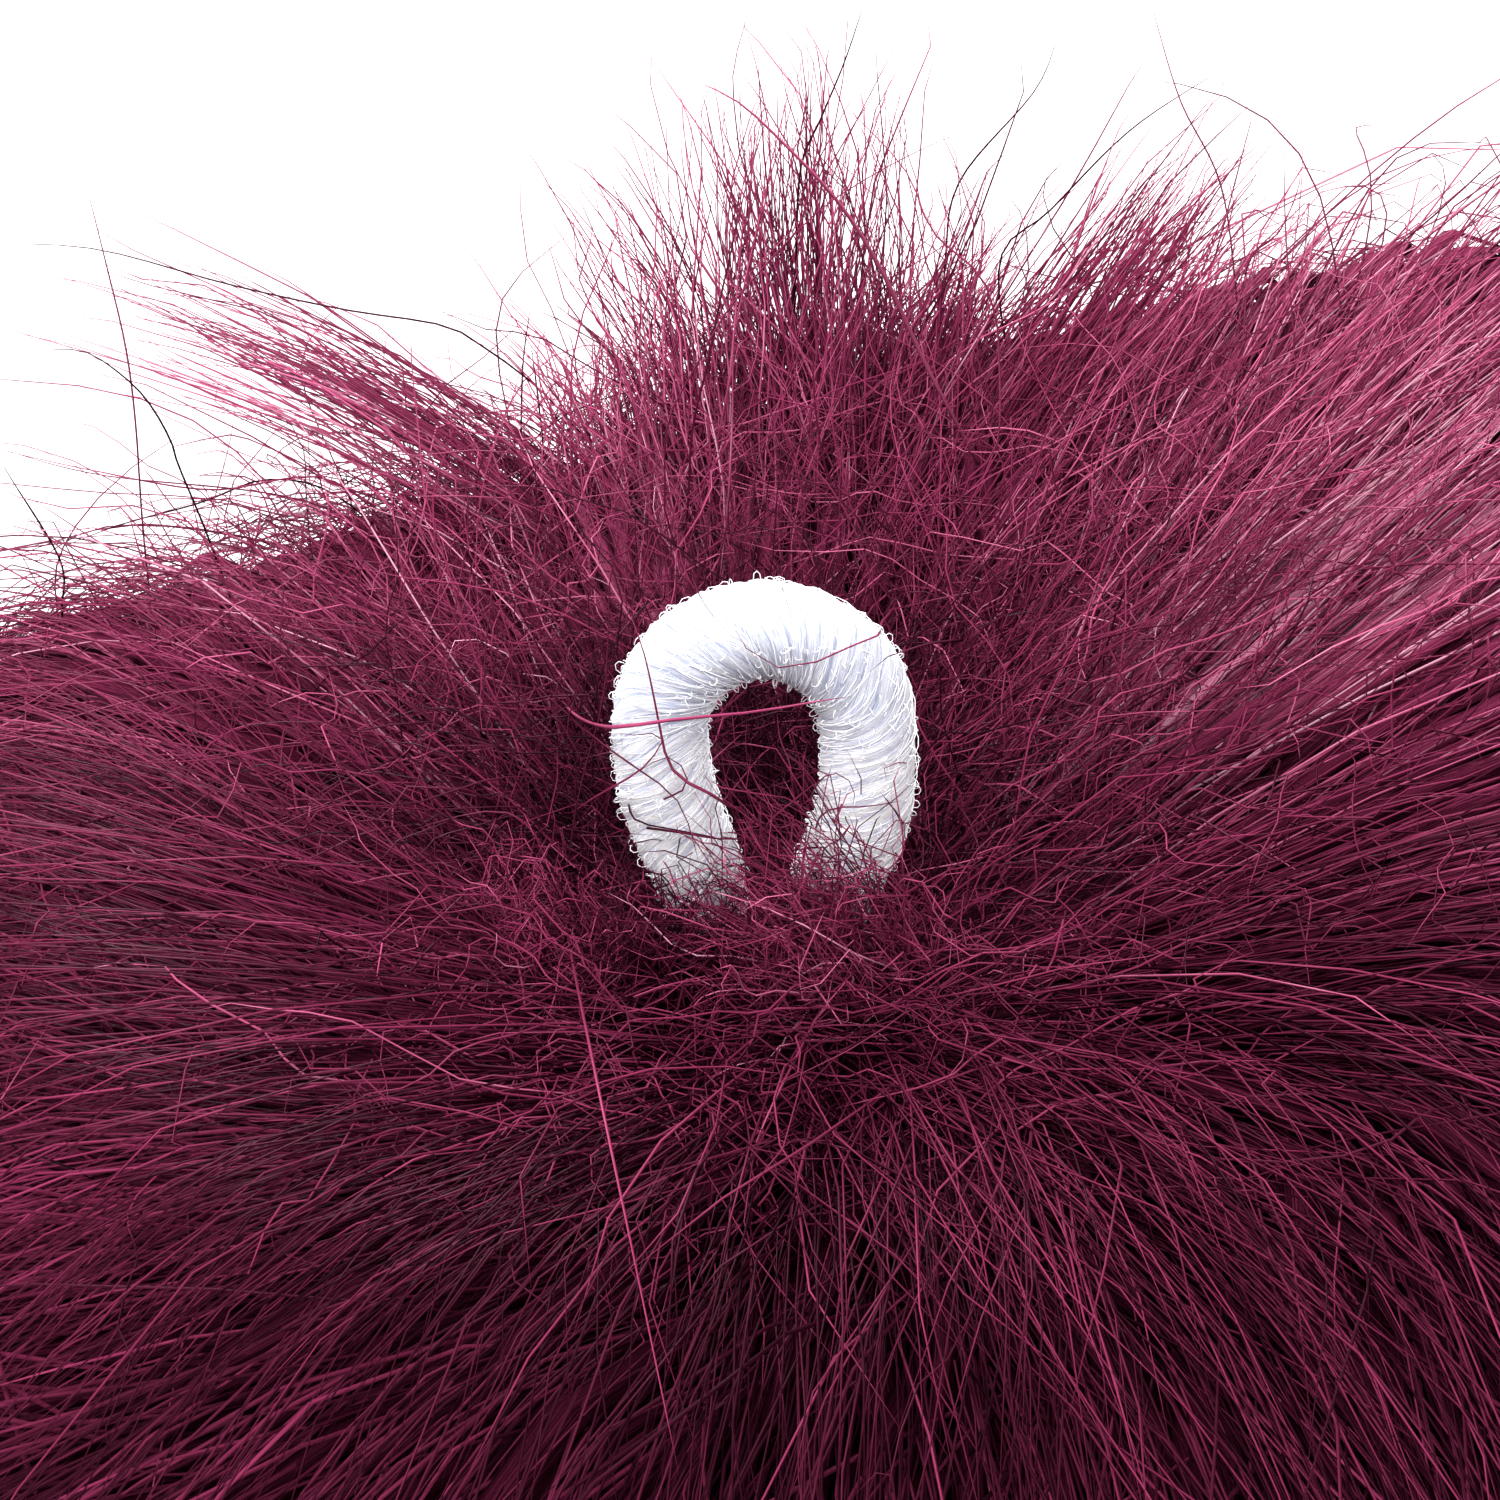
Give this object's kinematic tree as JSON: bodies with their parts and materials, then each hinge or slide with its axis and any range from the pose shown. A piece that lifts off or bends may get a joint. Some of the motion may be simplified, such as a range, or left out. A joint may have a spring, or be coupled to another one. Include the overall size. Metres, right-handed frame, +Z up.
{
  "type": "faux fur pom pom with elastic loop",
  "caption": "Round long-pile faux fur pom pom with a hollow where the pile is gathered and a short elastic hanging loop standing in it.",
  "frame": {"origin": "middle of the small flat spot that the ball rests on", "axes": "+Z up, away from the flat spot. The loop's plane is parallel to XZ, so its eye runs along Y. The hollow's high side is towards +X"},
  "size_m": [0.112, 0.1132, 0.1092],
  "materials": {
    "fur": "long fine wine-coloured acrylic pile with a silky sheen and crinkled underwool",
    "elastic": "matt white textured polyester yarn over an elastic core"
  },
  "bodies": {
    "root": {"fur_pom": "fur", "elastic_loop": "elastic"}
  },
  "joints": []
}
